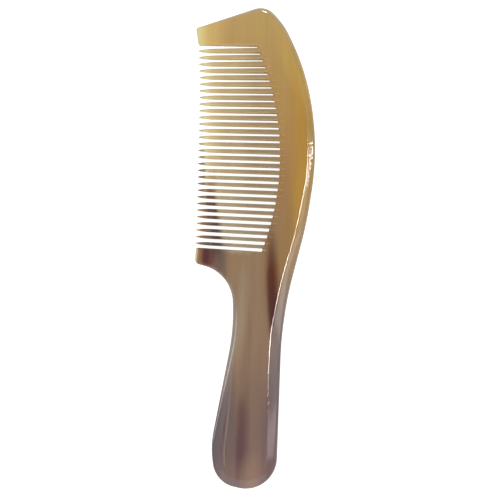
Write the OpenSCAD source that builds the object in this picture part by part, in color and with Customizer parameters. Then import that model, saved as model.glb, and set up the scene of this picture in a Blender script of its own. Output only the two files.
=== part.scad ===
// Horn comb with a handle, cut, thinned, sawn and polished from one slab of horn.
// It lies on its flat back. X runs from the tooth tips to the spine, Y from the handle up to
// the head and Z up. The origin is the middle of the comb's box, on the surface it lies on.

/* [Slab] */
// Length of the whole comb, from the end of the handle to the top of the head
comb_l = 180; // [150:1:210]
// Thickness of the slab over the spine and the handle
slab_t = 6; // [5:0.1:8]
// Thickness of the guard tooth and of the heel at their ends
thin_t = 2.6; // [2:0.1:4]
// Width of the rounded edge, as a share of the widths in the outline table
edge_share = 1; // [0.5:0.05:1.1]

/* [Teeth] */
// Number of gaps between the guard tooth and the heel, one more than the teeth
gap_count = 31; // [20:1:36]
// Share of the pitch that is gap
gap_share = 0.54; // [0.4:0.01:0.6]
// Angle by which the teeth close in on each other, from the first to the last
fan_angle = 3.8; // [0:0.1:6]
// Length of the taper that brings a tooth to its point
taper_l = 7; // [4:0.5:10]
// Width of a tooth at its point, as a share of its full width
point_share = 0.3; // [0.2:0.05:0.6]
// Thickness of a tooth at its point
point_t = 1.2; // [0.8:0.1:2]

/* [Saw marks] */
// Width of the thin cut that the saw leaves past the end of each gap
mark_w = 0.35; // [0.2:0.05:0.6]
// Length of that cut on the face
mark_l = 2.3; // [1:0.1:3]
// Depth of that cut where it leaves the gap
mark_deep = 0.7; // [0.3:0.1:1]

/* [Hidden] */

// Outline of the slab, clockwise from the top of the head, as straight lines that are rounded
// at their corners. Columns: x, y, corner radius, width of the rounded edge there.
OUTLINE = [
    [  4.1,  91.5,   6.8, 1.8], // top of the head
    [ 11.1,  84.5,  29.0, 2.4], // shoulder
    [ 19.2,  68.4,  86.0, 3.0], // upper spine
    [ 25.1,  39.6, 103.0, 3.3], // widest part of the spine
    [ 20.9,   9.9, 139.0, 4.0], // lower spine
    [ 12.5, -24.6, 145.0, 4.3], // back of the neck, hollow
    [ 11.4, -92.0,  11.7, 4.0], // end of the handle, right
    [-11.1, -87.2,  10.0, 4.2], // end of the handle, left
    [-13.4, -74.1,  36.0, 5.4], // side of the handle
    [ -5.5, -29.2,  79.0, 1.8], // front of the neck, hollow
    [ -6.7,  -8.6,  14.5, 1.0], // throat, hollow
    [-20.6,  -5.4,   2.0, 0.9], // heel, lower corner
    [-20.1,   1.3,   0.6, 0.5], // heel, upper corner
    [-20.7,  75.9,   0.8, 0.6], // guard tooth, lower corner
    [-21.8,  82.5,   1.0, 0.8], // guard tooth, upper corner
];

// Section of the rounded edge. Columns: share of the edge width, share of the half thickness.
EDGE = [[0, 0], [0.06, 0.4], [0.25, 0.73], [0.6, 0.93], [1, 1]];

// Thinning towards the tips. Columns: distance in from the tips, share of the full thickness.
THINNING = [[0, 0], [14, 0.52], [22, 0.82], [28, 1]];
// The thinning runs out below the heel. Columns: y, share of the thinning that is left.
RUN_OUT = [[-26, 0], [-20, 0.12], [-14, 0.4], [-6, 0.88], [0, 1]];

// The tips stand back from the ends of the guard tooth and the heel. Columns: y, x of the tips.
TIPS = [[0, -19.3], [62, -19.4], [74, -20.1]];
// Where the thinning starts to count
thin_from_x = -20.7;

// The gaps cross the line x = gap_x at these heights, evenly spaced in between
gap_x = -6;
first_gap_y = 75.6;
last_gap_y = 0.4;
// Direction of the middle gap
middle_angle = -0.27;
// The gaps end on this arc
root_r = 100;
root_peak = [10.6, 34];
root_sides = 360;

// Largest distance between an arc and the chords that stand for it
sag = 0.035;
// Levels that are closer than this count as one
least_step = 0.04;
// Number of points across each face between its two rounded edges
FACE_POINTS = 4;
// A tooth reaches this far past its root, into the slab
tooth_hold = 1.2;
// A tooth is this much thinner than the slab around it
tooth_relief = 0.12;
// Cut corners of a tooth, as a share of its width
tooth_corner = 0.3;
// The taper swells before it reaches the point: where, as a share of its length, and how wide
swell_at = 0.3;
swell_share = 0.75;
// Thickness of the slices that a tooth is stretched over
slice = 0.02;
// Cuts reach this far past the surface that they open
past = 1;

// Points and numbers for the outline

function unit(v) = v / norm(v);
function flat(row) = [row.x, row.y];
function column(rows, c) = [for (row = rows) row[c]];

// Points of the arc that rounds the corner at row b, between rows a and c
function corner_arc(a, b, c) =
    let (
        to_a = unit(flat(a) - flat(b)),
        to_c = unit(flat(c) - flat(b)),
        half = acos(to_a * to_c) / 2,
        reach = b[2] / tan(half),
        middle = flat(b) + unit(to_a + to_c) * b[2] / sin(half),
        from = flat(b) + to_a * reach - middle,
        to = flat(b) + to_c * reach - middle,
        start = atan2(from.y, from.x),
        sweep = (atan2(to.y, to.x) - start + 540) % 360 - 180,
        steps = max(2, ceil(abs(sweep) / (2 * acos(1 - sag / b[2]))))
    )
    [for (i = [0:steps])
        let (angle = start + sweep * i / steps)
        [middle.x + b[2] * cos(angle), middle.y + b[2] * sin(angle), b[3]]];

corners = len(OUTLINE);
drawn = [for (i = [0:corners - 1])
    each corner_arc(OUTLINE[(i + corners - 1) % corners], OUTLINE[i], OUTLINE[(i + 1) % corners])];
drawn_low = [min(column(drawn, 0)), min(column(drawn, 1))];
drawn_high = [max(column(drawn, 0)), max(column(drawn, 1))];
size = comb_l / (drawn_high.y - drawn_low.y);
centre = (drawn_low + drawn_high) / 2;

// The outline splits at its highest and lowest points into a spine side and a tooth side
top_at = search(drawn_high.y, column(drawn, 1))[0];
low_at = search(drawn_low.y, column(drawn, 1))[0];
spine_count = (low_at - top_at + len(drawn)) % len(drawn);
spine_side = [for (i = [0:spine_count]) drawn[(top_at + i) % len(drawn)]];
tooth_side = [for (i = [0:len(drawn) - spine_count]) drawn[(top_at - i + len(drawn)) % len(drawn)]];

// Heights at which the slab has a section: those of every point on either side
function falling(v) = len(v) < 2 ? v :
    let (pivot = v[floor(len(v) / 2)])
    concat(falling([for (y = v) if (y > pivot) y]), [pivot], falling([for (y = v) if (y < pivot) y]));
heights = falling(concat(column(spine_side, 1), column(tooth_side, 1)));
levels = [for (i = [0:len(heights) - 1])
    if (i == 0 || i == len(heights) - 1 || heights[i - 1] - heights[i] > least_step) heights[i]];
last = len(levels) - 1;

// One side of the slab at every level: x, y, width of the rounded edge
function side_points(side) =
    let (
        xs = [for (p = side) [p.y, p.x]],
        widths = [for (p = side) [p.y, p[2]]]
    )
    [for (y = levels) [lookup(y, xs), y, lookup(y, widths) * edge_share]];

// Directions from a side's points into the slab. turn is 1 on the spine side and -1 on the other.
function side_normals(points, turn) =
    [for (k = [0:last])
        let (way = flat(points[min(k + 1, last)]) - flat(points[max(k - 1, 0)]))
        k == 0 ? [0, -1] :
        k == last ? [0, 1] :
        unit([way.y, -way.x]) * turn];

spine_points = side_points(spine_side);
tooth_points = side_points(tooth_side);
spine_normals = side_normals(spine_points, 1);
tooth_normals = side_normals(tooth_points, -1);

// Thickness of the slab at a point of the drawing
function thickness(p) =
    let (thinned = 1 - lookup(p.x - thin_from_x, THINNING))
    slab_t - (slab_t - thin_t) * thinned * lookup(p.y, RUN_OUT);

// Each section is a closed ring of points: over the front from the tooth side to the spine
// side, then back under it. edge_n points are on each rounded edge and FACE_POINTS between.
edge_n = len(EDGE) - 1;
front_n = 2 * edge_n + FACE_POINTS + 1;
ring_n = 2 * front_n;

// Place of front point c at level k, as x, y, height above the middle of the thickness
function front_point(k, c) =
    let (
        left = flat(tooth_points[k]) + tooth_normals[k] * tooth_points[k][2] * EDGE[min(c, edge_n)][0],
        right = flat(spine_points[k])
            + spine_normals[k] * spine_points[k][2] * EDGE[min(front_n - c, edge_n)][0],
        across = min(max((c - edge_n) / (FACE_POINTS + 1), 0), 1),
        place = left + (right - left) * across,
        rise = EDGE[min(c, front_n - c, edge_n)][1]
    )
    [place.x, place.y, thickness(place) / 2 * rise];

function ring_point(k, c) =
    c <= front_n ? front_point(k, c) :
    let (p = front_point(k, ring_n - c)) [p.x, p.y, -p.z];

// At the highest and the lowest point the two sides meet, so the ring is folded flat there
function ring_place(k, c) =
    let (
        folded = min(c, abs(front_n - c), ring_n - c, edge_n),
        column_there = c <= front_n ? folded : (ring_n - folded) % ring_n
    )
    k * ring_n + (k == 0 || k == last ? column_there : c % ring_n);

slab_points = [for (k = [0:last]) for (c = [0:ring_n - 1]) ring_point(k, c)];
slab_triangles = [for (k = [0:last - 1]) for (c = [0:ring_n - 1])
    let (
        a = ring_place(k, c),
        b = ring_place(k, c + 1),
        d = ring_place(k + 1, c),
        e = ring_place(k + 1, c + 1)
    )
    each [[a, b, e], [a, e, d]]];
slab_faces = [for (t = slab_triangles) if (t[0] != t[1] && t[1] != t[2] && t[2] != t[0]) t];

// Numbers for the teeth

pitch = (first_gap_y - last_gap_y) / (gap_count - 1);
gap_w = pitch * gap_share;
tooth_w = pitch - gap_w;

// Height and direction of a gap, counted from 0 at the guard tooth. A tooth is at a half.
function gap_y(i) = first_gap_y - i * pitch;
function gap_angle(i) = middle_angle + fan_angle * (0.5 - i / (gap_count - 1));
// Height of a gap's line where it crosses x
function line_y(i, x) = gap_y(i) + (x - gap_x) * tan(gap_angle(i));
function root_x(y) = root_peak.x - root_r + sqrt(root_r * root_r - (y - root_peak.y) * (y - root_peak.y));

// The rounded slab, as thick and thin as the finished comb but without its teeth
module slab() {
    polyhedron(points = slab_points, faces = slab_faces);
}

// The space that the teeth stand in, open towards the tips and closed by the arc of the roots
module tooth_space() {
    left = thin_from_x - 10;
    right = root_peak.x + 10;
    last_gap = gap_count - 1;
    translate([0, 0, -slab_t / 2 - past])
        linear_extrude(height = slab_t + 2 * past)
            intersection() {
                translate([root_peak.x - root_r, root_peak.y])
                    circle(r = root_r, $fn = root_sides);
                polygon([
                    [left, line_y(0, left) + gap_w / 2],
                    [left, line_y(last_gap, left) - gap_w / 2],
                    [right, line_y(last_gap, right) - gap_w / 2],
                    [right, line_y(0, right) + gap_w / 2],
                ]);
            }
}

// Thin slice of a tooth at x along it: an upright rectangle with cut corners
module tooth_slice(x, w, t) {
    cut = w * tooth_corner;
    translate([x, 0, 0])
        rotate([90, 0, 90])
            linear_extrude(height = slice, center = true)
                polygon([
                    [w / 2, t / 2 - cut],
                    [w / 2 - cut, t / 2],
                    [cut - w / 2, t / 2],
                    [-w / 2, t / 2 - cut],
                    [-w / 2, cut - t / 2],
                    [cut - w / 2, -t / 2],
                    [w / 2 - cut, -t / 2],
                    [w / 2, cut - t / 2],
                ]);
}

// Tooth i, widest and thickest at its root, with a blunt point
module tooth(i) {
    between = i + 0.5;
    root = root_x(gap_y(between)) - gap_x;
    tip = lookup(gap_y(between), TIPS) - gap_x;
    full = tip + taper_l;
    swell = tip + taper_l * swell_at;
    full_t = thickness([full + gap_x, gap_y(between)]) - tooth_relief;
    translate([gap_x, gap_y(between), 0])
        rotate([0, 0, gap_angle(between)])
            hull() {
                tooth_slice(root + tooth_hold, tooth_w,
                    thickness([root + gap_x, gap_y(between)]) - tooth_relief);
                tooth_slice(full, tooth_w, full_t);
                tooth_slice(swell, tooth_w * swell_share, (full_t + point_t) / 2);
                tooth_slice(tip + slice / 2, tooth_w * point_share, point_t);
            }
}

// Thin run-outs of the saw past the end of gap i, one on each face
module saw_marks(i) {
    end_y = line_y(i, root_peak.x);
    root = root_x(end_y) - gap_x;
    face = thickness([root + gap_x, end_y]) / 2;
    translate([gap_x, gap_y(i), 0])
        rotate([0, 0, gap_angle(i)])
            for (side = [-1, 1])
                scale([1, 1, side])
                    rotate([90, 0, 0])
                        linear_extrude(height = mark_w, center = true)
                            polygon([
                                [root - past, face - mark_deep],
                                [root, face - mark_deep],
                                [root + mark_l, face],
                                [root + mark_l, face + past],
                                [root - past, face + past],
                            ]);
}

// The whole comb, one piece of horn
module comb() {
    color([0.64, 0.5, 0.32])
        translate([0, 0, slab_t / 2])
            scale([size, size, 1])
                translate([-centre.x, -centre.y, 0])
                    difference() {
                        union() {
                            difference() {
                                slab();
                                tooth_space();
                            }
                            for (i = [0:gap_count - 2])
                                tooth(i);
                        }
                        for (i = [0:gap_count - 1])
                            saw_marks(i);
                    }
}

comb();
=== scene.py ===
import math

import bpy
import numpy as np
from mathutils import Matrix, Vector
from mathutils.geometry import delaunay_2d_cdt


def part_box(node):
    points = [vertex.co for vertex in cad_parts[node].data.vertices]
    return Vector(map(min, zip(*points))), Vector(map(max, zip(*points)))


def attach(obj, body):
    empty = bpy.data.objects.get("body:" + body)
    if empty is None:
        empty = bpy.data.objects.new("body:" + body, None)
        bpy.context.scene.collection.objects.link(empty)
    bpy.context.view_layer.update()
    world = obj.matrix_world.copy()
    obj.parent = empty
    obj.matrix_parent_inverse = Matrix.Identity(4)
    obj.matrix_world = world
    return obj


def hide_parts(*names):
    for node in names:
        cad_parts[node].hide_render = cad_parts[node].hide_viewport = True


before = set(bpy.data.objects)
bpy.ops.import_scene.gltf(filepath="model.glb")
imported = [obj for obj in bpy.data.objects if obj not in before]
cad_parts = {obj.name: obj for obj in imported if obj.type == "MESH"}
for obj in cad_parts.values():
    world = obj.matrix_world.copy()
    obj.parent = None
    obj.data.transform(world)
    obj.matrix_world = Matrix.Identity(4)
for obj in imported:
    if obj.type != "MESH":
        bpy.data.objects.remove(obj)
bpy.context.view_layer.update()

# The blank
# The comb starts as one flat slab of ox horn, sawn to this outline: a straight sloping head,
# a bowed spine, a hollow neck and a handle with a round end. Its corners are filed round.

MM = 0.001
comb_low, comb_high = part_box("comb")
SLAB_T = (comb_high.z - comb_low.z) / MM
# The rounding of the blank's edge takes the whole half thickness
WHOLE = SLAB_T / 2

# Corners of the blank in mm of the drawing, clockwise from the end of the guard tooth.
# Columns: x, y, corner radius, width of the rounded edge, place.
BLANK = [
    (-21.8, 82.5, 1.0, 0.8, "guard tooth, upper corner"),
    (4.1, 91.5, 6.8, 1.8, "top of the head"),
    (11.1, 84.5, 29.0, 2.4, "shoulder"),
    (19.2, 68.4, 86.0, 3.0, "upper spine"),
    (25.1, 39.6, 103.0, 3.0, "widest part of the spine"),
    (20.9, 9.9, 139.0, 3.5, "lower spine"),
    (14.42, -16.71, 137.0, 4.0, "back of the neck"),
    (12.37, -32.72, 137.0, 4.6, "back of the neck, lower half"),
    (12.13, -47.0, 0.0, 4.9, "top of the handle, right"),
    (11.92, -60.0, 0.0, 4.3, "side of the handle, right"),
    (11.4, -92.0, 11.7, 4.0, "end of the handle, right"),
    (-11.1, -87.2, 10.0, 4.2, "end of the handle, left"),
    (-13.4, -74.1, 36.0, 5.4, "side of the handle"),
    (-5.5, -29.2, 79.0, 1.8, "front of the neck"),
    (-6.7, -8.6, 14.5, 1.0, "throat"),
    (-20.6, -5.4, 2.0, 0.9, "heel, lower corner"),
]


def outline_row(place, radius, edge, sawn=0, tooth=0):
    """A row of the outline: x, y, corner radius, edge width and depth, 1 if sawn, 1 on a tooth."""
    return (*place, radius, *edge, sawn, tooth)


blank_rows = [outline_row((x, y), radius, (edge_w, WHOLE)) for x, y, radius, edge_w, name in BLANK]

# The teeth
# Thirty-one saw cuts leave thirty teeth between the guard tooth and the heel. Each tooth is
# ground to a blunt point and its four long edges are eased, so that it slides through hair.

GAPS = 31
FIRST_GAP_Y = 75.6
LAST_GAP_Y = 0.4
PITCH = (FIRST_GAP_Y - LAST_GAP_Y) / (GAPS - 1)
# Each gap is a little wider at its mouth than at its end
MOUTH_W = 0.5 * PITCH
END_W = 0.455 * PITCH
# The gaps cross this line at even steps, and fan out a little
GAP_X = -6.0
MIDDLE_ANGLE = math.radians(-0.27)
FAN = math.radians(3.8)
# The gaps end on this arc, with small rounded corners
ROOT_R = 100.0
ROOT_MIDDLE = np.array([10.6 - ROOT_R, 34.0])
ROOT_CORNER = 0.3
# The tips stand back from the guard tooth and the heel. Columns: y, x of the tips.
TIPS = [(0.0, -20.6), (12.0, -20.2), (62.0, -20.1), (74.0, -20.8)]
# Length of a tooth's taper, and the places along it that get points
TAPER_L = 6.0
TAPER_STATIONS = (0.03, 0.12, 0.3, 0.6, 1.0, 1.5, 2.1, 2.8, 3.7, 4.8, TAPER_L)
# Seen from above, the taper is nearly half an ellipse, for which this would be 0.5
TAPER_CURVE = 0.48
# Thickness at the tip
POINT_T = 1.2
# Width and depth of the eased edge beside a saw cut, at a tip, and at the outer end of the guard
# tooth and the heel
EASED = (0.42, 0.45)
EASED_TIP = (0.02, 0.3)
EASED_END = (0.55, 0.9)
# On the taper its width and depth are at most these shares of the tooth's half width, and the
# depth this much more
EASED_SHARES = (0.72, 0.9)
EASED_MORE_D = 0.2
# Past the end of each gap the saw leaves a thin run-out in each face: its width, length, depth
MARK_W = 0.4
MARK_L = 2.5
MARK_DEEP = 0.14
# Where the outermost cuts leave the guard tooth and the heel: x, corner radius
GUARD_END = (-20.7, 0.8)
HEEL_END = (-20.2, 0.6)
# There these cuts lie this much higher than the fan of the gaps has them
OUTER_RISE = 0.2


def gap_line(i):
    """Start, direction and upward normal of gap i, counted from 0 at the guard tooth."""
    angle = MIDDLE_ANGLE + FAN * (0.5 - i / (GAPS - 1))
    along = np.array([math.cos(angle), math.sin(angle)])
    up = np.array([-along[1], along[0]])
    return np.array([GAP_X, FIRST_GAP_Y - i * PITCH]), along, up


def root_of(start, along):
    """Where a line of this direction meets the arc of the roots."""
    offset = start - ROOT_MIDDLE
    back = offset @ along
    return start + along * (math.sqrt(back * back - offset @ offset + ROOT_R * ROOT_R) - back)


def tooth_rows(k):
    """Rows round tooth k, from its lower root corner past the tip to its upper one."""
    start, along, up = gap_line(k + 0.5)
    tip = start + along * (np.interp(start[1], *zip(*TIPS)) - GAP_X)
    sides = []
    for side in (-1, 1):
        edge = []
        for station in TAPER_STATIONS:
            half = (PITCH - MOUTH_W) / 2 * (1 - max(0.0, 1 - station / TAPER_L) ** 2) ** TAPER_CURVE
            eased_w = min(EASED[0], EASED_SHARES[0] * half)
            eased_d = min(EASED[1], EASED_SHARES[1] * half + EASED_MORE_D)
            place = tip + along * station + up * side * half
            edge.append(outline_row(place, 0, (eased_w, eased_d), 1, 1))
        root = root_of(start + up * side * (PITCH - END_W) / 2, along)
        sides.append(edge + [outline_row(root, ROOT_CORNER, EASED, 1, 1)])
    return sides[0][::-1] + [outline_row(tip, 0, EASED_TIP, 1, 1)] + sides[1]


def gap_end_rows(i):
    """Rows across the blind end of gap i: the two sides and the bottom of its saw mark."""
    start, along, up = gap_line(i)
    asides = (-MARK_W / 2, 0, MARK_W / 2)
    return [outline_row(root_of(start + up * aside, along), 0, EASED, 1) for aside in asides]


def outer_cut_rows(i, side, end):
    """Rows along the sawn side of the guard tooth or the heel: its root and its outer corner."""
    start, along, up = gap_line(i)
    root = root_of(start + up * side * END_W / 2, along)
    corner = start + up * (side * MOUTH_W / 2 + OUTER_RISE) + along * (end[0] - GAP_X) / along[0]
    return outline_row(root, ROOT_CORNER, EASED, 1), outline_row(corner, end[1], EASED_END)


guard_rows = outer_cut_rows(0, 1, GUARD_END)
heel_rows = outer_cut_rows(GAPS - 1, -1, HEEL_END)[::-1]
outline = [*guard_rows, *blank_rows, *heel_rows, *gap_end_rows(GAPS - 1)]
for k in reversed(range(GAPS - 1)):
    outline += tooth_rows(k) + gap_end_rows(k)

# Longest stretch between two points of the outline, on the slab and along a tooth
SLAB_STEP = 0.9
TOOTH_STEP = 1.5
# Largest turn between two points of a rounded corner, and the fewest steps round it
CORNER_TURN = math.radians(12)
CORNER_STEPS = 3
# Column of a rounded row that says whether it is sawn
SAWN_COLUMN = 4


def rounded(rows):
    """Points round the outline: corners become arcs, and long stretches are split."""
    arcs = []
    for j, (x, y, radius, *rest) in enumerate(rows):
        if radius == 0:
            arcs.append([(x, y, *rest)])
            continue
        corner = np.array([x, y])
        back = np.array(rows[j - 1][:2]) - corner
        on = np.array(rows[(j + 1) % len(rows)][:2]) - corner
        back /= np.linalg.norm(back)
        on /= np.linalg.norm(on)
        half = math.acos(back @ on) / 2
        middle = corner + (back + on) / np.linalg.norm(back + on) * radius / math.sin(half)
        first = corner + back * radius / math.tan(half) - middle
        final = corner + on * radius / math.tan(half) - middle
        turn = math.atan2(first[0] * final[1] - first[1] * final[0], first @ final)
        turn_steps = math.ceil(abs(turn) / CORNER_TURN)
        length_steps = math.ceil(abs(turn) * radius / SLAB_STEP)
        steps = max(CORNER_STEPS, turn_steps, length_steps)
        angles = math.atan2(first[1], first[0]) + turn * np.arange(steps + 1) / steps
        ring = middle + radius * np.column_stack([np.cos(angles), np.sin(angles)])
        arcs.append([(*place, *rest) for place in ring])
    points = []
    for j, arc in enumerate(arcs):
        here = np.array(arc[-1])
        there = np.array(arcs[(j + 1) % len(arcs)][0])
        step = TOOTH_STEP if here[SAWN_COLUMN] and there[SAWN_COLUMN] else SLAB_STEP
        parts = math.ceil(np.linalg.norm(there[:2] - here[:2]) / step)
        points += arc + [tuple(here + (there - here) * part / parts) for part in range(1, parts)]
    return np.array(points)


rim = rounded(outline)
edge_w, edge_d, sawn, tooth = rim[:, 2:].T

# The width of the rounded edge changes gently along the slab
BLENDS = 50
slab_part = np.flatnonzero(sawn == 0)
for blend in range(BLENDS):
    values = edge_w[slab_part]
    values[1:-1] = (values[:-2] + 2 * values[1:-1] + values[2:]) / 4
    edge_w[slab_part] = values

# Directions from the outline into the horn
rim_place = rim[:, :2]
ahead = np.roll(rim_place, -1, axis=0) - rim_place
ahead /= np.linalg.norm(ahead, axis=1)[:, None]
way = ahead + np.roll(ahead, 1, axis=0)
way /= np.linalg.norm(way, axis=1)[:, None]
inward = np.column_stack([way[:, 1], -way[:, 0]])

# The faces
# Both faces are scraped thinner towards the teeth, so that the guard tooth and the heel end
# less than half as thick as the spine. The spine and the handle keep the full thickness.

# Thickness at the ends of the guard tooth and the heel
THIN_T = 2.6
# From there the thinning runs this far towards the spine, along this curve
THIN_FROM_X = -20.7
THIN_L = 30.0
THIN_CURVE = 1.35
# It sets in up the neck, from this height and over this length
THIN_FADE_FROM_Y = -26.0
THIN_FADE_L = 26.0
# Curve of a tooth's taper, seen from its side
POINT_CURVE = 1.7


def thickness(x, y, tooth_share):
    """Thickness of the comb at places of the drawing, with a taper on the teeth."""
    thinned = (1 - np.clip((x - THIN_FROM_X) / THIN_L, 0, 1)) ** THIN_CURVE
    fade = np.clip((y - THIN_FADE_FROM_Y) / THIN_FADE_L, 0, 1)
    slab = SLAB_T - (SLAB_T - THIN_T) * thinned * fade * fade * (3 - 2 * fade)
    from_tip = x - np.interp(y, *zip(*TIPS))
    point = (1 - np.clip(from_tip / TAPER_L, 0, 1)) ** POINT_CURVE
    return slab - (slab - POINT_T) * point * tooth_share


# The rounded edge is nearly flat across most of its width. It rolls over at the outline and
# ends at a crisp ridge beside the face. Columns: share of the edge width, tilt in degrees.
EDGE_TILT = [(0.0, 88), (0.015, 72), (0.05, 60), (0.11, 50), (0.2, 42), (0.34, 35), (0.52, 29),
             (0.7, 25), (0.84, 21), (0.91, 15), (0.96, 8), (1.0, 0)]
EDGE_STATIONS = (0.0, 0.02, 0.06, 0.13, 0.24, 0.4, 0.6, 0.8, 0.88, 0.94, 0.975, 1.0)
# The tilts are added up at this many places
EDGE_SAMPLES = 401
# The middle of the comb's side keeps a narrow upright band
UPRIGHT_SHARE = 0.02

fine_shares = np.linspace(0, 1, EDGE_SAMPLES)
slopes = np.tan(np.radians(np.interp(fine_shares, *zip(*EDGE_TILT))))
rises = np.concatenate([[0], np.cumsum((slopes[1:] + slopes[:-1]) / 2)])
edge_rises = np.interp(EDGE_STATIONS, fine_shares, rises / rises[-1])

# The saw marks
# The saw's run-out past each gap is deepest at the gap and comes up to the face. Polishing has
# nearly taken the marks away.

# Each mark reaches back this far into its gap
MARK_BACK = 0.05

gap_ends = [(root_of(start, along), along, up) for start, along, up in map(gap_line, range(GAPS))]


def mark_depth(places):
    """Depth of the saw marks at places of the drawing."""
    depth = np.zeros(len(places))
    for end, along, up in gap_ends:
        past = (places - end) @ along
        aside = np.abs((places - end) @ up)
        fade = np.clip(1 - past / MARK_L, 0, 1) * (past > -MARK_BACK)
        depth = np.maximum(depth, MARK_DEEP * fade * np.clip(1 - aside / (MARK_W / 2), 0, 1))
    return depth


# The finished piece
# It is one closed skin: a ring of points for each station across the rounded edge, on either
# face, and a fine net of triangles over the flat of each face.

# Step of the net's even spread, and how far it stays from the rim and from the saw marks
NET_STEP = 1.5
NET_CLEAR = 0.6
MARK_ROOM = 0.9
# Along a saw mark the net is denser: how far aside, from where, how far past the mark's own end
# and at what step, and how far these points stay from the rim
MARK_NET_ASIDE = 0.45
MARK_NET_FROM = 0.5
MARK_NET_PAST = 0.3
MARK_NET_STEP = 0.24
MARK_CLEAR = 0.12
MARK_ASIDES = (-MARK_NET_ASIDE, -MARK_W / 2, 0.0, MARK_W / 2, MARK_NET_ASIDE)
MARK_STATIONS = np.arange(MARK_NET_FROM, MARK_L + MARK_NET_PAST, MARK_NET_STEP)
# The mesher's setting for triangles inside the rim only, and the distance that it takes as none
INSIDE_ONLY = 1
SAME_PLACE = 1e-7

rings = []
ring_thin = []
for station, rise in zip(EDGE_STATIONS, edge_rises):
    place = rim_place + inward * (edge_w * station)[:, None]
    half = thickness(*place.T, tooth) / 2
    drop = np.minimum(edge_d, half * (1 - UPRIGHT_SHARE)) * (1 - rise)
    rings.append(np.column_stack([place, half - drop - mark_depth(place) * rise]))
    ring_thin.append(1 - 2 * half / SLAB_T)

flat_rim = rings[-1][:, :2]


def from_rim(places):
    """Distance of each place from the rim of the flat."""
    return np.array([np.linalg.norm(flat_rim - place, axis=1).min() for place in places])


# The net's own points: an even spread, and denser ones along the saw marks
low, high = rim_place.min(axis=0), rim_place.max(axis=0)
across = np.arange(low[0], high[0], NET_STEP)
up_down = np.arange(low[1], high[1], NET_STEP)
spread = np.array([(x, y + (column % 2) * NET_STEP / 2)
                   for column, x in enumerate(across) for y in up_down])
for end, along, up in gap_ends:
    past = (spread - end) @ along
    aside = np.abs((spread - end) @ up)
    spread = spread[(past < 0) | (past > MARK_L + MARK_ROOM) | (aside > MARK_ROOM)]
spread = spread[from_rim(spread) > NET_CLEAR]
along_marks = np.array([end + along * past + up * aside for end, along, up in gap_ends
                        for past in MARK_STATIONS for aside in MARK_ASIDES])
net = np.vstack([spread, along_marks[from_rim(along_marks) > MARK_CLEAR]])

rim_count = len(rim)
corners = [Vector(p) for p in np.vstack([flat_rim, net])]
rim_loop = list(reversed(range(rim_count)))
laid = delaunay_2d_cdt(corners, [], [rim_loop], INSIDE_ONLY, SAME_PLACE)
laid_points = np.array([p[:] for p in laid[0]])
laid_triangles = np.array(laid[2])

# A ring for each station on either face, and one round the middle of the side
ring_count = 2 * len(EDGE_STATIONS) + 1
side_points = np.vstack([
    *[ring * (1, 1, -1) for ring in reversed(rings)],
    np.column_stack([rim_place, np.zeros(rim_count)]),
    *rings,
])
# Points of the triangles that aren't on the flat's own rim get a place of their own
rim_of = {laid_id: ids[0] for laid_id, ids in enumerate(laid[3]) if ids and ids[0] < rim_count}
inner_ids = sorted(set(laid_triangles.ravel().tolist()) - set(rim_of))
inner = laid_points[inner_ids]
inner_half = thickness(*inner.T, np.zeros(len(inner))) / 2
inner_points = np.column_stack([inner, inner_half - mark_depth(inner)])
points = np.vstack([side_points, inner_points, inner_points * (1, 1, -1)])

front_id = {laid_id: len(side_points) + order for order, laid_id in enumerate(inner_ids)}
front_id.update({laid_id: (ring_count - 1) * rim_count + j for laid_id, j in rim_of.items()})
back_id = {laid_id: len(side_points) + len(inner) + order for order, laid_id in enumerate(inner_ids)}
back_id.update(rim_of)

faces = []
for ring in range(ring_count - 1):
    base = ring * rim_count
    for j in range(rim_count):
        on = (j + 1) % rim_count
        faces.append((base + on, base + j, base + rim_count + j, base + rim_count + on))
for a, b, c in laid_triangles.tolist():
    faces.append((front_id[a], front_id[b], front_id[c]))
    faces.append((back_id[c], back_id[b], back_id[a]))

# The drawing is laid on the CAD piece's own box
scale = ((np.array(comb_high[:2]) - np.array(comb_low[:2])) / (high - low)).min()
placed = np.column_stack([
    (points[:, 0] - (low[0] + high[0]) / 2) * scale + (comb_low.x + comb_high.x) / 2,
    (points[:, 1] - (low[1] + high[1]) / 2) * scale + (comb_low.y + comb_high.y) / 2,
    points[:, 2] * MM + (comb_low.z + comb_high.z) / 2,
])
mesh = bpy.data.meshes.new("horn_comb")
mesh.from_pydata(placed.tolist(), [], faces)
mesh.polygons.foreach_set("use_smooth", [True] * len(mesh.polygons))
comb = bpy.data.objects.new("horn_comb", mesh)
bpy.context.scene.collection.objects.link(comb)

# For the finish, each point keeps how thinned the horn is there, how much pale sawn tint and painted
# light its sawn sides take, how far out it lies on the rounded edge, and whether it is on a tooth

# Length over which the slab turns into a tooth
TOOTH_BLEND = 1.2
# Share of the eased edge that still takes the pale sawn tint and painted light, and how much a saw mark takes
SAWN_REACH = 0.125
MARK_FRESH = 0.4


def on_tooth(places):
    """Rises from 0 to 1 where a place lies past the roots, between the outermost gaps."""
    past_root = ROOT_R - np.linalg.norm(places - ROOT_MIDDLE, axis=1)
    between = (places[:, 1] < FIRST_GAP_Y) & (places[:, 1] > LAST_GAP_Y - MOUTH_W)
    return np.clip(past_root / TOOTH_BLEND, 0, 1) * between


inner_mark = mark_depth(inner) / MARK_DEEP
ring_sawn = [sawn * np.clip(1 - station / SAWN_REACH, 0, 1) for station in EDGE_STATIONS]
ring_edge = [(1 - sawn) * (1 - station) for station in EDGE_STATIONS]
ring_tooth = [on_tooth(ring[:, :2]) for ring in rings]


def on_all(by_ring, on_side, inside):
    """Values of all the piece's points, in the order of the mesh."""
    return np.concatenate([*reversed(by_ring), on_side, *by_ring, inside, inside])


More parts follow.
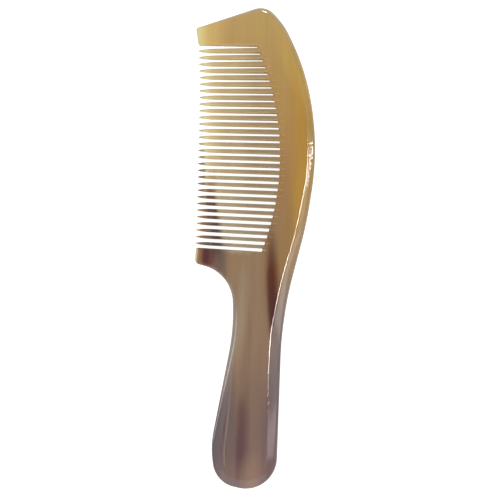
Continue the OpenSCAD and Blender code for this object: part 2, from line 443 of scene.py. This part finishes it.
no_edge = np.zeros(len(inner))
for name, values in (
    ("thinned", on_all(ring_thin, ring_thin[0], 1 - 2 * inner_half / SLAB_T)),
    ("sawn", on_all(ring_sawn, sawn, MARK_FRESH * inner_mark)),
    ("edge", on_all(ring_edge, ring_edge[0], no_edge)),
    ("tooth", on_all(ring_tooth, ring_tooth[0], on_tooth(inner))),
):
    mesh.attributes.new(name, "FLOAT", "POINT").data.foreach_set("value", values.astype(np.float32))

# The horn
# Ox horn is layered keratin: fibres run its length, straw-coloured where it is thin, amber,
# brown and plum where pigment runs through it. It is sanded fine, then buffed on a wheel.


def add(tree, kind, inputs=(), **settings):
    """Adds a shader node. Inputs are (socket, value or linked socket) pairs."""
    node = tree.nodes.new("ShaderNode" + kind)
    for key, value in settings.items():
        setattr(node, key, value)
    for socket, value in dict(inputs).items():
        if isinstance(value, bpy.types.NodeSocket):
            tree.links.new(value, node.inputs[socket])
        else:
            node.inputs[socket].default_value = value
    return node


def calc(tree, operation, *values):
    """Adds a maths node and returns its result."""
    return add(tree, "Math", enumerate(values), operation=operation).outputs[0]


def new_group(name, takes, gives):
    """Makes an empty node group with these inputs and outputs, and returns its two ends."""
    tree = bpy.data.node_groups.new(name, "ShaderNodeTree")
    for socket, kind, value in takes:
        made = tree.interface.new_socket(socket, in_out="INPUT", socket_type="NodeSocket" + kind)
        if value is not None:
            made.default_value = value
    for socket, kind in gives:
        tree.interface.new_socket(socket, in_out="OUTPUT", socket_type="NodeSocket" + kind)
    return tree, tree.nodes.new("NodeGroupInput").outputs, tree.nodes.new("NodeGroupOutput").inputs


def tint(red, green, blue):
    """A colour as it is seen on a screen, 0 to 255, as the linear values that shaders take."""
    shares = [value / 255 for value in (red, green, blue)]
    return (*[s / 12.92 if s <= 0.04045 else ((s + 0.055) / 1.055) ** 2.4 for s in shares], 1)


# Streak: a long soft-edged lens that lies along the fibres, for pigment and for painted shade
streak_tree, take, give = new_group(
    "horn streak",
    [("Place", "Vector", None), ("X", "Float", 0), ("Y", "Float", 0), ("Half Width", "Float", 1),
     ("Half Length", "Float", 10), ("Lean", "Float", 0), ("Bend", "Float", 0), ("Feather", "Float", 0.5)],
    [("Mask", "Float")])
place = add(streak_tree, "SeparateXYZ", {"Vector": take["Place"]}).outputs
dy = calc(streak_tree, "SUBTRACT", place["Y"], take["Y"])
lean = calc(streak_tree, "MULTIPLY", dy, take["Lean"])
bend = calc(streak_tree, "MULTIPLY", calc(streak_tree, "MULTIPLY", dy, dy), take["Bend"])
dx = calc(streak_tree, "SUBTRACT", place["X"], take["X"])
dx = calc(streak_tree, "SUBTRACT", calc(streak_tree, "SUBTRACT", dx, lean), bend)
dx = calc(streak_tree, "DIVIDE", dx, take["Half Width"])
dy = calc(streak_tree, "DIVIDE", dy, take["Half Length"])
radius = calc(streak_tree, "SQRT", calc(streak_tree, "ADD", calc(streak_tree, "MULTIPLY", dx, dx),
                                        calc(streak_tree, "MULTIPLY", dy, dy)))
outer = calc(streak_tree, "ADD", 1.0, take["Feather"])
inner_radius = calc(streak_tree, "SUBTRACT", 1.0, take["Feather"])
mask = add(streak_tree, "MapRange", {"Value": radius, "From Min": outer, "From Max": inner_radius},
           interpolation_type="SMOOTHSTEP")
streak_tree.links.new(mask.outputs["Result"], give["Mask"])

# Fibres: thin lines along the horn and slow clouds of colour across it, both swaying a little.
# Each noise is squeezed by these along X, Y and Z: a small value draws it out.
SWAY_SQUEEZE = (0.28, 0.05, 0.28)
LINE_SQUEEZE = (1.1, 0.04, 1.1)
CLOUD_SQUEEZE = (0.2, 0.035, 0.2)
# How far the fibres sway, in mm
SWAY = (2.2, 6.0, 0.0)
# The values of a noise lie around this
NOISE_MIDDLE = (0.5, 0.5, 0.5)


def squeeze(tree, place, by):
    """Multiplies a place by a value of its own along X, Y and Z."""
    return add(tree, "VectorMath", {0: place, 1: by}, operation="MULTIPLY").outputs[0]


def noise(tree, place, scale, detail):
    """Adds a noise at a place and returns its outputs."""
    return add(tree, "TexNoise", {"Vector": place, "Scale": scale, "Detail": detail}).outputs


fibre_tree, take, give = new_group(
    "horn fibres",
    [("Place", "Vector", None)],
    [("Place", "Vector"), ("Lines", "Float"), ("Clouds", "Float")])
sway = noise(fibre_tree, squeeze(fibre_tree, take["Place"], SWAY_SQUEEZE), scale=1.0, detail=3.0)["Color"]
centred = add(fibre_tree, "VectorMath", {0: sway, 1: NOISE_MIDDLE}, operation="SUBTRACT").outputs[0]
swayed = add(fibre_tree, "VectorMath", {0: centred, 1: SWAY, 2: take["Place"]},
             operation="MULTIPLY_ADD").outputs[0]
fibre_tree.links.new(swayed, give["Place"])
lines = noise(fibre_tree, squeeze(fibre_tree, swayed, LINE_SQUEEZE), scale=1.0, detail=3.0)
fibre_tree.links.new(lines["Fac"], give["Lines"])
clouds = noise(fibre_tree, squeeze(fibre_tree, swayed, CLOUD_SQUEEZE), scale=1.0, detail=2.0)
fibre_tree.links.new(clouds["Fac"], give["Clouds"])

# Polish: fine scratches and a slow waver of the buffed face, with ripples of the file where asked
SCRATCH_SQUEEZE = (3.0, 0.3, 3.0)
RIPPLE_SQUEEZE = (0.5, 1.0, 0.3)
# Heights in mm
WAVER_H = 0.012
RIPPLE_H = 0.06
polish_tree, take, give = new_group(
    "hand polish",
    [("Place", "Vector", None), ("Ripple", "Float", 0.0)],
    [("Roughness", "Float"), ("Height", "Float")])
scratches = noise(polish_tree, squeeze(polish_tree, take["Place"], SCRATCH_SQUEEZE), scale=2.0, detail=4.0)
rough = add(polish_tree, "MapRange", {"Value": scratches["Fac"], "From Min": 0.3, "From Max": 0.75,
                                      "To Min": 0.06, "To Max": 0.13})
polish_tree.links.new(rough.outputs["Result"], give["Roughness"])
waver = noise(polish_tree, take["Place"], scale=0.16, detail=1.0)
ripples = noise(polish_tree, squeeze(polish_tree, take["Place"], RIPPLE_SQUEEZE), scale=1.0, detail=0.0)
waver_height = calc(polish_tree, "MULTIPLY", waver["Fac"], WAVER_H)
ripple_height = calc(polish_tree, "MULTIPLY", calc(polish_tree, "MULTIPLY", ripples["Fac"], RIPPLE_H),
                     take["Ripple"])
polish_tree.links.new(calc(polish_tree, "ADD", waver_height, ripple_height), give["Height"])

# Colours of the horn from the head down to the handle's end. Columns: y in mm, then the colour
# of the face, of the rounded edge, of the teeth at their roots and of the teeth halfway.
GROUND = [
    (87, tint(183, 150, 93), tint(184, 154, 106), tint(164, 139, 96), tint(180, 158, 111)),
    (76, tint(177, 141, 83), tint(187, 156, 104), tint(164, 139, 96), tint(180, 158, 111)),
    (62, tint(171, 135, 77), tint(184, 152, 94), tint(161, 136, 95), tint(179, 157, 111)),
    (47, tint(169, 130, 74), tint(168, 134, 80), tint(150, 126, 92), tint(175, 153, 111)),
    (32, tint(160, 119, 71), tint(164, 134, 88), tint(145, 123, 92), tint(167, 146, 110)),
    (16, tint(150, 112, 70), tint(162, 136, 98), tint(146, 127, 99), tint(163, 146, 114)),
    (0, tint(142, 114, 84), tint(157, 133, 105), tint(148, 130, 104), tint(160, 144, 116)),
    (-18, tint(142, 114, 88), tint(141, 119, 100), tint(148, 130, 104), tint(160, 144, 116)),
    (-36, tint(140, 111, 87), tint(124, 108, 104), tint(148, 130, 104), tint(160, 144, 116)),
    (-54, tint(125, 100, 83), tint(108, 94, 92), tint(148, 130, 104), tint(160, 144, 116)),
    (-72, tint(121, 95, 86), tint(119, 97, 95), tint(148, 130, 104), tint(160, 144, 116)),
    (-87, tint(134, 105, 93), tint(116, 92, 88), tint(148, 130, 104), tint(160, 144, 116)),
]
# Thin horn lets more light through and looks golden, then straw. On the teeth it is greyer.
GOLD = tint(207, 173, 104)
STRAW = tint(222, 203, 142)
TOOTH_GOLD = tint(202, 180, 126)
TOOTH_STRAW = tint(211, 195, 148)
# Fresh saw cuts are paler than the polished horn, and rough. The pale tint is also painted light on the
# sawn walls between the teeth, which lie in the gaps' shade.
SAWN_TINT_AND_PAINTED_LIGHT = tint(242, 220, 170)
SAWN_TINT_AND_PAINTED_LIGHT_STRENGTH = 0.9
SAWN_ROUGHNESS = 0.6
# Where the face's colour gives way to the rounded edge's, as a share out from the edge's ridge
EDGE_COLOUR_RANGE = (0.04, 0.25)
# Where the next colour sets in, as a share of the full thickness that is taken off
HALFWAY_RANGE = (0.08, 0.26)
GOLD_RANGE = (0.27, 0.5)
STRAW_RANGE = (0.46, 0.58)
# Gold and straw show on the upper comb only, and set in between these heights in mm
PALE_RANGE = (2, 44)
# The file left ripples on this part of the spine, from this share out on its rounded edge
FILE_WORK = {"X": 21.5, "Y": 31, "Half Width": 4, "Half Length": 11, "Feather": 0.3}
FILE_WORK_RANGE = (0.02, 0.2)

# Pigment of the horn, and one painted shade at the tooth tips, in the order that it is laid. Columns: name,
# colour, strength, x, y, half width, half length, lean, bend, feather, share that shows on the rounded edge;
# sizes in mm.
STREAKS = [
    ("olive cloud in the head", tint(176, 148, 84), 0.6, 2.0, 85, 3.0, 6, 0, 0, 0.9, 1),
    ("olive shoulder", tint(188, 154, 81), 0.85, 14.4, 66, 2.7, 13, -0.42, 0, 0.8, 1),
    ("rose by the first roots", tint(179, 140, 92), 0.6, 4.2, 70, 1.2, 5, 0, 0, 0.8, 1),
    ("amber spine", tint(173, 129, 50), 0.9, 17.8, 34, 3.2, 32, 0, -0.003, 0.8, 1),
    ("olive below the spine", tint(148, 113, 66), 0.9, 11.3, 0, 2.2, 14, 0.16, 0, 0.8, 1),
    ("pale streak in the neck", tint(152, 129, 105), 0.9, -3.8, -25, 1.7, 15, 0.05, 0, 0.8, 1),
    ("pale front edge of the neck", tint(150, 132, 112), 0.85, -7.8, -39, 2.0, 14, 0.17, 0, 0.6, 1),
    ("brown line in the neck", tint(131, 103, 78), 0.8, -0.3, -34, 0.7, 12, 0, 0, 0.8, 1),
    ("red-brown halo", tint(122, 84, 50), 0.4, 7.4, -12, 3.2, 16, -0.06, 0, 0.8, 0.15),
    ("red-brown streak", tint(86, 40, 19), 1.0, 7.6, -14, 2.0, 15, -0.06, 0, 0.8, 0.15),
    ("plum foot of the streak", tint(72, 35, 34), 0.9, 8.1, -24, 1.3, 9, -0.06, 0, 0.7, 0.15),
    ("plum line by the ridge", tint(98, 64, 64), 0.9, 7.1, -59, 0.9, 9, 0, 0, 0.8, 0.15),
    # Painted shade: the upper teeth's rounded tips are greyed where their curved ends darken
    ("painted shade at the tooth tips", tint(158, 148, 108), 0.6, -20.6, 48, 1.0, 19, 0, 0, 0.6, 1),
    ("brown tips", tint(124, 97, 78), 0.95, -19.9, 23, 1.7, 14, 0, 0, 0.6, 1),
    ("tan tips", tint(188, 154, 112), 0.8, -20.4, 7, 1.5, 7, 0, 0, 0.5, 1),
    ("amber by the heel", tint(138, 94, 60), 0.9, -18.9, -3, 1.6, 7, 0, 0, 0.6, 1),
    ("grey heel", tint(106, 83, 73), 0.95, -12.9, -3, 2.7, 8, 0, 0, 0.5, 1),
    ("rust in the lower teeth", tint(122, 72, 46), 0.9, -17.1, 13, 2.1, 12.5, 0.1, 0, 0.5, 1),
    ("maroon in the lower teeth", tint(80, 34, 26), 1.0, -15.5, 14.5, 1.9, 6, -0.15, 0, 0.5, 1),
    ("maroon heel", tint(100, 58, 50), 0.95, -16.0, -2, 1.6, 7, 0, 0, 0.5, 1),
    ("dark heel", tint(82, 40, 38), 0.95, -17.4, -3, 1.1, 6, 0, 0, 0.7, 1),
    ("plum in the lower teeth", tint(74, 46, 44), 0.95, -14.4, 6, 2.4, 8, -0.08, 0, 0.5, 1),
    ("straw end of the heel", tint(218, 200, 150), 0.95, -21.4, -3, 0.95, 5, 0, 0, 0.4, 1),
    ("grey edge of the throat", tint(108, 90, 75), 0.8, -10.3, -7, 0.8, 7, 0, 0, 0.7, 1),
    ("amber line past the heel", tint(138, 106, 80), 0.7, -9.1, -8, 0.9, 10, 0, 0, 0.8, 1),
    ("grey side of the handle", tint(105, 87, 82), 0.85, -6.9, -67, 1.9, 15, 0, 0, 0.8, 1),
    ("grey edge of the handle", tint(98, 82, 84), 0.9, -12.5, -68, 2.9, 17, 0, 0, 0.5, 1),
    ("red-brown top of the plum streak", tint(103, 71, 60), 0.8, -2.7, -63, 1.6, 7, 0, 0, 0.8, 1),
    ("plum streak", tint(96, 65, 68), 0.95, -3.1, -73, 1.8, 11, 0.03, 0, 0.8, 1),
    ("brown beside the plum streak", tint(104, 77, 72), 0.7, -0.9, -73, 1.0, 16, 0, 0, 0.8, 1),
    ("dark line along the grey side", tint(94, 72, 68), 0.6, -8.8, -71, 0.5, 10, 0, 0, 0.8, 1),
    ("rose side of the handle", tint(116, 89, 91), 0.7, 5.7, -70, 1.5, 14, 0, 0, 0.8, 1),
    ("amber end of the handle", tint(142, 112, 94), 0.9, 0.8, -85, 2.8, 7, 0, 0, 0.8, 1),
]

horn = bpy.data.materials.new("polished horn")
horn.use_nodes = True
tree = horn.node_tree
tree.nodes.clear()
coordinate = add(tree, "TexCoord").outputs["Object"]
in_mm = add(tree, "VectorMath", {0: coordinate, "Scale": 1 / MM}, operation="SCALE").outputs[0]
fibres = add(tree, "Group", {"Place": in_mm}, node_tree=fibre_tree)
fibre_place = fibres.outputs["Place"]
thinned, sawn_share, edge_share, tooth_share = (
    add(tree, "Attribute", attribute_name=name).outputs["Fac"]
    for name in ("thinned", "sawn", "edge", "tooth"))

# A Mix node has these sockets for its share, its two colours and their mix
MIX_SHARE, MIX_BELOW, MIX_ABOVE = 0, 6, 7
MIX_RESULT = 2


def mix(tree, share, below, above):
    """Mixes two colours: a share of 0 gives the one below, and 1 the one above."""
    takes = {MIX_SHARE: share, MIX_BELOW: below, MIX_ABOVE: above}
    return add(tree, "Mix", takes, data_type="RGBA", clamp_factor=True).outputs[MIX_RESULT]


def share_between(tree, value, start, end):
    """Rises smoothly from 0 at start to 1 at end."""
    return add(tree, "MapRange", {"Value": value, "From Min": start, "From Max": end},
               interpolation_type="SMOOTHSTEP").outputs["Result"]


height = add(tree, "SeparateXYZ", {"Vector": fibre_place}).outputs["Y"]
highest, lowest = GROUND[0][0], GROUND[-1][0]
share_up = add(tree, "MapRange", {"Value": height, "From Min": lowest, "From Max": highest}).outputs["Result"]
grounds = []
for column in (1, 2, 3, 4):
    ramp = add(tree, "ValToRGB", {"Fac": share_up})
    ramp.color_ramp.interpolation = "B_SPLINE"
    stops = ramp.color_ramp.elements
    stops[0].color = GROUND[-1][column]
    stops[1].color = GROUND[0][column]
    for row in GROUND[1:-1]:
        stops.new((row[0] - lowest) / (highest - lowest)).color = row[column]
    grounds.append(ramp.outputs["Color"])
face_ground, edge_ground, root_ground, halfway_ground = grounds
on_border = share_between(tree, edge_share, *EDGE_COLOUR_RANGE)
halfway = share_between(tree, thinned, *HALFWAY_RANGE)
tooth_ground = mix(tree, halfway, root_ground, halfway_ground)
colour = mix(tree, tooth_share, mix(tree, on_border, face_ground, edge_ground), tooth_ground)

pale = share_between(tree, height, *PALE_RANGE)
for thin_range, on_face, on_teeth in ((GOLD_RANGE, GOLD, TOOTH_GOLD), (STRAW_RANGE, STRAW, TOOTH_STRAW)):
    share = calc(tree, "MULTIPLY", share_between(tree, thinned, *thin_range), pale)
    colour = mix(tree, share, colour, mix(tree, tooth_share, on_face, on_teeth))

for name, stain, strength, x, y, half_width, half_length, lean, bend, feather, on_edge in STREAKS:
    streak = add(tree, "Group", {
        "Place": fibre_place,
        "X": x,
        "Y": y,
        "Half Width": half_width,
        "Half Length": half_length,
        "Lean": lean,
        "Bend": bend,
        "Feather": feather,
    }, node_tree=streak_tree, label=name)
    here = add(tree, "MapRange", {"Value": on_border, "To Min": strength, "To Max": strength * on_edge})
    share = calc(tree, "MULTIPLY", streak.outputs["Mask"], here.outputs["Result"])
    colour = mix(tree, share, colour, stain)

# Painted light: sawn walls and saw marks take a pale tint, a fresh cut's paleness plus light painted on the
# walls between the teeth
colour = mix(tree, calc(tree, "MULTIPLY", sawn_share, SAWN_TINT_AND_PAINTED_LIGHT_STRENGTH), colour, SAWN_TINT_AND_PAINTED_LIGHT)
line_shade = add(tree, "MapRange", {"Value": fibres.outputs["Lines"], "From Min": 0.25, "From Max": 0.75,
                                    "To Min": 0.965, "To Max": 1.035})
cloud_shade = add(tree, "MapRange", {"Value": fibres.outputs["Clouds"], "From Min": 0.25, "From Max": 0.75,
                                     "To Min": 0.95, "To Max": 1.05})
shade = calc(tree, "MULTIPLY", line_shade.outputs["Result"], cloud_shade.outputs["Result"])
colour = add(tree, "VectorMath", {0: colour, "Scale": shade}, operation="SCALE").outputs[0]

file_work = add(tree, "Group", {"Place": in_mm, **FILE_WORK}, node_tree=streak_tree)
past_ridge = share_between(tree, edge_share, *FILE_WORK_RANGE)
ripple = calc(tree, "MULTIPLY", file_work.outputs["Mask"], past_ridge)
polish = add(tree, "Group", {"Place": in_mm, "Ripple": ripple}, node_tree=polish_tree)
roughness = add(tree, "MapRange", {
    "Value": sawn_share,
    "To Min": polish.outputs["Roughness"],
    "To Max": SAWN_ROUGHNESS,
})
bump = add(tree, "Bump", {"Height": polish.outputs["Height"], "Distance": MM, "Strength": 1.0})
shader = add(tree, "BsdfPrincipled", {
    "Base Color": colour,
    "Roughness": roughness.outputs["Result"],
    "IOR": 1.55,
    "Normal": bump.outputs["Normal"],
})
add(tree, "OutputMaterial", {"Surface": shader.outputs[0]})
mesh.materials.append(horn)

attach(comb, "root")
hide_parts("comb")

# The table and the light
# The comb lies on a pale sheet that glows, inside a light tent with soft panes around it and a
# dim opening above, where the camera looks in.

# Half the side of the sheet, in metres
SHEET_HALF = 3.9
# The sheet lies a hair below the comb, so that the two faces don't share one plane
SHEET_Z = -0.00005
# The glow that lights the comb, and the glow that the camera sees
SHEET_LIGHT = (0.45, 0.45, 0.45, 1)
SHEET_SEEN = (0.92, 0.92, 0.92, 1)

sheet_mesh = bpy.data.meshes.new("pale_sheet")
sheet_corners = [(-1, -1), (1, -1), (1, 1), (-1, 1)]
sheet_places = [(x * SHEET_HALF, y * SHEET_HALF, SHEET_Z) for x, y in sheet_corners]
sheet_mesh.from_pydata(sheet_places, [], [(0, 1, 2, 3)])
sheet = bpy.data.objects.new("pale_sheet", sheet_mesh)
bpy.context.scene.collection.objects.link(sheet)
sheet_paint = bpy.data.materials.new("pale sheet")
sheet_paint.use_nodes = True
tree = sheet_paint.node_tree
tree.nodes.clear()
seen = add(tree, "LightPath").outputs["Is Camera Ray"]
glow = mix(tree, seen, SHEET_LIGHT, SHEET_SEEN)
paint = add(tree, "BsdfPrincipled", {
    "Base Color": (0.4, 0.4, 0.4, 1),
    "Roughness": 0.9,
    "Specular IOR Level": 0.0,
    "Emission Color": glow,
    "Emission Strength": 1.0,
})
# From below the sheet is clear, so that the comb's back can be seen too
below = calc(tree, "MULTIPLY", add(tree, "NewGeometry").outputs["Backfacing"], seen)
clear = add(tree, "BsdfTransparent")
surface = add(tree, "MixShader", {0: below, 1: paint.outputs[0], 2: clear.outputs[0]})
add(tree, "OutputMaterial", {"Surface": surface.outputs[0]})
sheet_mesh.materials.append(sheet_paint)

world = bpy.data.worlds.new("tent")
bpy.context.scene.world = world
world.use_nodes = True
tent = world.node_tree.nodes["Background"].inputs
tent["Color"].default_value = (0.92, 0.97, 1.0, 1)
tent["Strength"].default_value = 0.3

# Distance of the lamps from the middle of the comb, in metres
PANE_DISTANCE = 4.0
# Lamps of the tent. Some light only the horn's colour, so that they don't show in its gloss, and
# some show only in the gloss. Columns: name, azimuths from +X, leans from overhead and slant in
# degrees, radiance, colour, and what it is for.
PANES = [
    ("overhead fill", (-180, 0), (-28, 28), 0, 1.1, (1.0, 0.99, 0.97), "diffuse"),
    ("front fill", (-125, -55), (18, 48), 0, 2.2, (1.0, 0.99, 0.97), "diffuse"),
    ("right wall", (-8.5, 13), (48, 70), 0, 1.6, (0.88, 0.95, 1.0), "both"),
    ("right window", (-17.4, -13.0), (20, 76), 10.3, 2.3, (1.0, 0.97, 0.96), "both"),
    ("upper right pane", (13, 50), (40, 66), 0, 0.5, (0.9, 0.96, 1.0), "both"),
    ("back pane", (65, 115), (30, 80), 0, 1.0, (0.95, 0.98, 1.0), "both"),
    ("left wall", (165, 222), (42, 80), 0, 0.5, (0.85, 0.93, 1.0), "both"),
    ("left strip", (174.5, 186.5), (79, 89.5), 0, 5.0, (1.0, 1.0, 1.0), "gloss"),
    ("front pane", (-138, -50), (46, 86), 0, 0.8, (0.95, 0.98, 1.0), "both"),
    ("back strip", (84, 112), (47.5, 53.5), 0, 4.0, (1.0, 1.0, 1.0), "gloss"),
    ("left ridge pane", (172, 218), (12, 32), 0, 1.4, (1.0, 1.0, 1.0), "gloss"),
    ("ridge strip", (-20.5, 18), (15.5, 23.5), 0, 58.0, (1.0, 1.0, 1.0), "gloss"),
    ("spine strip", (1.8, 4.1), (34, 89), 9.6, 38.0, (1.0, 1.0, 1.0), "gloss"),
    ("apex glint", (71, 85.5), (67, 79), 0, 120.0, (1.0, 1.0, 1.0), "gloss"),
]

for name, azimuths, leans, slant, radiance, shade, use in PANES:
    azimuth, lean = (math.radians(sum(pair) / 2) for pair in (azimuths, leans))
    across, along = (math.radians(pair[1] - pair[0]) for pair in (azimuths, leans))
    light = bpy.data.lights.new(name, "AREA")
    light.shape = "RECTANGLE"
    light.size = 2 * PANE_DISTANCE * math.tan(along / 2)
    light.size_y = 2 * PANE_DISTANCE * math.tan(across / 2) * math.sin(lean)
    # Right overhead the azimuths say nothing about the width, so that lamp is square
    if name == "overhead fill":
        light.size_y = light.size
    # The power that gives this radiance
    light.energy = radiance * math.pi * light.size * light.size_y
    light.color = shade
    lamp = bpy.data.objects.new(name, light)
    bpy.context.scene.collection.objects.link(lamp)
    # The lamp faces the comb, and its own X lies along the lean
    turn = Matrix.Rotation(azimuth, 3, "Z") @ Matrix.Rotation(lean, 3, "Y")
    lamp.location = turn @ Vector((0, 0, PANE_DISTANCE))
    lamp.rotation_euler = (turn @ Matrix.Rotation(math.radians(slant), 3, "Z")).to_euler()
    lamp.visible_camera = False
    lamp.visible_glossy = use != "diffuse"
    lamp.visible_diffuse = use != "gloss"

# The camera
# It looks straight down from 40 cm, turned a little so that the comb stands as photographed.

# Height above the middle of the comb, width of the view there and place, in metres; turn in degrees
VIEW_HEIGHT = 0.4
VIEW_WIDTH = 0.18724
VIEW_PLACE = (-0.000976, -0.0006)
VIEW_TURN = 1.13

camera_data = bpy.data.cameras.new("camera")
camera_data.sensor_width = 36.0
camera_data.lens = camera_data.sensor_width * VIEW_HEIGHT / VIEW_WIDTH
camera_data.clip_start = 0.01
camera = bpy.data.objects.new("camera", camera_data)
camera.location = (*VIEW_PLACE, (comb_low.z + comb_high.z) / 2 + VIEW_HEIGHT)
camera.rotation_euler = (0, 0, math.radians(VIEW_TURN))
bpy.context.scene.collection.objects.link(camera)
bpy.context.scene.camera = camera
bpy.context.scene.view_settings.view_transform = "Standard"
